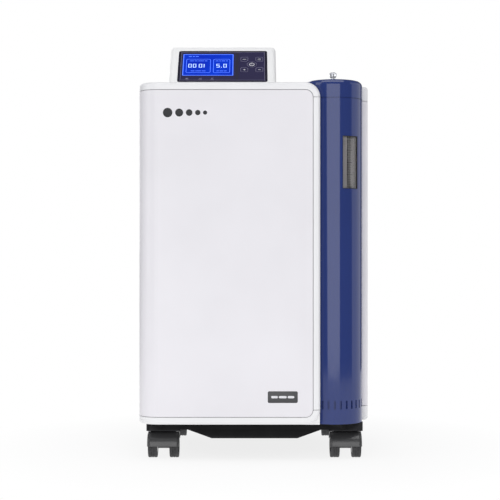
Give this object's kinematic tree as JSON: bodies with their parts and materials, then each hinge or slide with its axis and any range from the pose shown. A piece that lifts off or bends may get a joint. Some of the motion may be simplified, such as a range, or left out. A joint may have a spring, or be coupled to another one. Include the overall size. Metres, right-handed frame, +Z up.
{
  "type": "oxygen concentrator",
  "caption": "Wheeled floor-standing oxygen concentrator: white boxed casing, blue round column with flow window and outlet, sloped console on top, twin-wheel casters.",
  "frame": {"origin": "middle of the casing's footprint, on the floor", "axes": "+Z up, -Y out of the front face, +X to the right as seen from the front"},
  "size_m": [0.369, 0.375, 0.684],
  "materials": {
    "casing_white": "satin white moulding",
    "trim_white": "glossy white moulding",
    "rim_grey": "satin light grey moulding",
    "column_blue": "deep blue gloss",
    "outlet_clear": "clear moulded nozzle",
    "meter_clear": "clear acrylic block",
    "float_steel": "polished",
    "bracket_grey": "matte grey",
    "valve_brass": "machined",
    "tray_black": "matte black",
    "stem_steel": "zinc plated",
    "hood_black": "black nylon",
    "wheel_black": "black tread",
    "console_white": "satin white",
    "fascia_navy": "dark navy film",
    "screen_blue": "lit blue display",
    "key_navy": "satin dark key",
    "board_green": "circuit board",
    "panel_white": "fine-textured white",
    "door_grey": "light grey louvred door",
    "screw_steel": "zinc plated",
    "foam_black": "open-cell foam",
    "inlet_black": "black",
    "rocker_black": "black",
    "shelf_grey": "grey",
    "fan_black": "black",
    "bare_aluminium": "bare",
    "cast_aluminium": "as cast",
    "tank_grey": "grey",
    "shaft_steel": "ground",
    "mount_rubber": "black rubber",
    "supply_steel": "folded sheet",
    "hose_silicone": "translucent silicone"
  },
  "bodies": {
    "housing": {"base_tray": "tray_black", "lower_rim": "rim_grey", "front_side_cover": "casing_white", "front_end_trim": "trim_white", "top_cover": "trim_white", "right_side_cover": "casing_white", "rear_panel": "panel_white", "panel_screws": "screw_steel", "hand_grip": "door_grey", "intake_filter": "foam_black", "mains_inlet": "inlet_black", "switch_bezel": "inlet_black", "column_shell": "column_blue", "column_cap": "column_blue", "oxygen_outlet": "outlet_clear", "flowmeter_block": "meter_clear", "flowmeter_bracket": "bracket_grey", "flow_valve": "valve_brass", "caster_stems": "stem_steel", "console_housing": "console_white", "console_fascia": "fascia_navy", "lcd_screen": "screen_blue", "console_board": "board_green", "shelf": "shelf_grey", "fan_frame": "fan_black", "air_cooler": "bare_aluminium", "sieve_canisters": "bare_aluminium", "sieve_end_caps": "cast_aluminium", "valve_block": "cast_aluminium", "product_tank": "tank_grey", "compressor_body": "cast_aluminium", "compressor_heads": "cast_aluminium", "compressor_mounts": "mount_rubber", "inlet_filter_canister": "tank_grey", "exhaust_muffler": "fan_black", "control_board": "board_green", "power_supply": "supply_steel", "air_hoses": "hose_silicone"},
    "filter_door": {"filter_door": "door_grey"},
    "switch_rocker": {"switch_rocker": "rocker_black"},
    "flow_float": {"flow_float": "float_steel"},
    "fan_rotor": {"fan_rotor": "fan_black"},
    "compressor_rotor": {"compressor_rotor": "shaft_steel"},
    "key_power": {"key_power": "key_navy"},
    "key_mode": {"key_mode": "key_navy"},
    "key_timer": {"key_timer": "key_navy"},
    "key_minus": {"key_minus": "key_navy"},
    "key_plus": {"key_plus": "key_navy"},
    "caster_front_left": {"caster_front_left_hood": "hood_black"},
    "caster_front_left_wheel_left": {"caster_front_left_wheel_left": "wheel_black"},
    "caster_front_left_wheel_right": {"caster_front_left_wheel_right": "wheel_black"},
    "caster_front_right": {"caster_front_right_hood": "hood_black"},
    "caster_front_right_wheel_left": {"caster_front_right_wheel_left": "wheel_black"},
    "caster_front_right_wheel_right": {"caster_front_right_wheel_right": "wheel_black"},
    "caster_rear_left": {"caster_rear_left_hood": "hood_black"},
    "caster_rear_left_wheel_left": {"caster_rear_left_wheel_left": "wheel_black"},
    "caster_rear_left_wheel_right": {"caster_rear_left_wheel_right": "wheel_black"},
    "caster_rear_right": {"caster_rear_right_hood": "hood_black"},
    "caster_rear_right_wheel_left": {"caster_rear_right_wheel_left": "wheel_black"},
    "caster_rear_right_wheel_right": {"caster_rear_right_wheel_right": "wheel_black"}
  },
  "joints": [
    {"name": "filter_door_pull", "type": "slide", "parent": "housing", "child": "filter_door", "axis": [0, 1, 0], "range_m": [0, 0.04]},
    {"name": "power_rocker", "type": "hinge", "parent": "housing", "child": "switch_rocker", "pos_m": [0.095, 0.1805, 0.152], "axis": [1, 0, 0], "range_deg": [0, 16]},
    {"name": "float_rise", "type": "slide", "parent": "housing", "child": "flow_float", "axis": [0, 0, 1], "range_m": [0, 0.07]},
    {"name": "cooling_fan_spin", "type": "hinge", "parent": "housing", "child": "fan_rotor", "pos_m": [-0.105, 0.02, 0.286], "axis": [0, 0, 1], "continuous": true},
    {"name": "compressor_spin", "type": "hinge", "parent": "housing", "child": "compressor_rotor", "pos_m": [0, 0.01, 0.13], "axis": [1, 0, 0], "continuous": true},
    {"name": "key_power_press", "type": "slide", "parent": "housing", "child": "key_power", "axis": [0, 0.6691, -0.7431], "range_m": [0, 0.0008], "stiffness_N_per_m": 600},
    {"name": "key_mode_press", "type": "slide", "parent": "housing", "child": "key_mode", "axis": [0, 0.6691, -0.7431], "range_m": [0, 0.0008], "stiffness_N_per_m": 600},
    {"name": "key_timer_press", "type": "slide", "parent": "housing", "child": "key_timer", "axis": [0, 0.6691, -0.7431], "range_m": [0, 0.0008], "stiffness_N_per_m": 600},
    {"name": "key_minus_press", "type": "slide", "parent": "housing", "child": "key_minus", "axis": [0, 0.6691, -0.7431], "range_m": [0, 0.0008], "stiffness_N_per_m": 600},
    {"name": "key_plus_press", "type": "slide", "parent": "housing", "child": "key_plus", "axis": [0, 0.6691, -0.7431], "range_m": [0, 0.0008], "stiffness_N_per_m": 600},
    {"name": "caster_front_left_swivel", "type": "hinge", "parent": "housing", "child": "caster_front_left", "pos_m": [-0.1465, -0.128, 0.04], "axis": [0, 0, 1], "continuous": true},
    {"name": "caster_front_left_wheel_left_roll", "type": "hinge", "parent": "caster_front_left", "child": "caster_front_left_wheel_left", "pos_m": [-0.164, -0.14, 0.02], "axis": [1, 0, 0], "continuous": true},
    {"name": "caster_front_left_wheel_right_roll", "type": "hinge", "parent": "caster_front_left", "child": "caster_front_left_wheel_right", "pos_m": [-0.129, -0.14, 0.02], "axis": [1, 0, 0], "continuous": true},
    {"name": "caster_front_right_swivel", "type": "hinge", "parent": "housing", "child": "caster_front_right", "pos_m": [0.1465, -0.128, 0.04], "axis": [0, 0, 1], "continuous": true},
    {"name": "caster_front_right_wheel_left_roll", "type": "hinge", "parent": "caster_front_right", "child": "caster_front_right_wheel_left", "pos_m": [0.129, -0.14, 0.02], "axis": [1, 0, 0], "continuous": true},
    {"name": "caster_front_right_wheel_right_roll", "type": "hinge", "parent": "caster_front_right", "child": "caster_front_right_wheel_right", "pos_m": [0.164, -0.14, 0.02], "axis": [1, 0, 0], "continuous": true},
    {"name": "caster_rear_left_swivel", "type": "hinge", "parent": "housing", "child": "caster_rear_left", "pos_m": [-0.1465, 0.128, 0.04], "axis": [0, 0, 1], "continuous": true},
    {"name": "caster_rear_left_wheel_left_roll", "type": "hinge", "parent": "caster_rear_left", "child": "caster_rear_left_wheel_left", "pos_m": [-0.164, 0.116, 0.02], "axis": [1, 0, 0], "continuous": true},
    {"name": "caster_rear_left_wheel_right_roll", "type": "hinge", "parent": "caster_rear_left", "child": "caster_rear_left_wheel_right", "pos_m": [-0.129, 0.116, 0.02], "axis": [1, 0, 0], "continuous": true},
    {"name": "caster_rear_right_swivel", "type": "hinge", "parent": "housing", "child": "caster_rear_right", "pos_m": [0.1465, 0.128, 0.04], "axis": [0, 0, 1], "continuous": true},
    {"name": "caster_rear_right_wheel_left_roll", "type": "hinge", "parent": "caster_rear_right", "child": "caster_rear_right_wheel_left", "pos_m": [0.129, 0.116, 0.02], "axis": [1, 0, 0], "continuous": true},
    {"name": "caster_rear_right_wheel_right_roll", "type": "hinge", "parent": "caster_rear_right", "child": "caster_rear_right_wheel_right", "pos_m": [0.164, 0.116, 0.02], "axis": [1, 0, 0], "continuous": true}
  ]
}
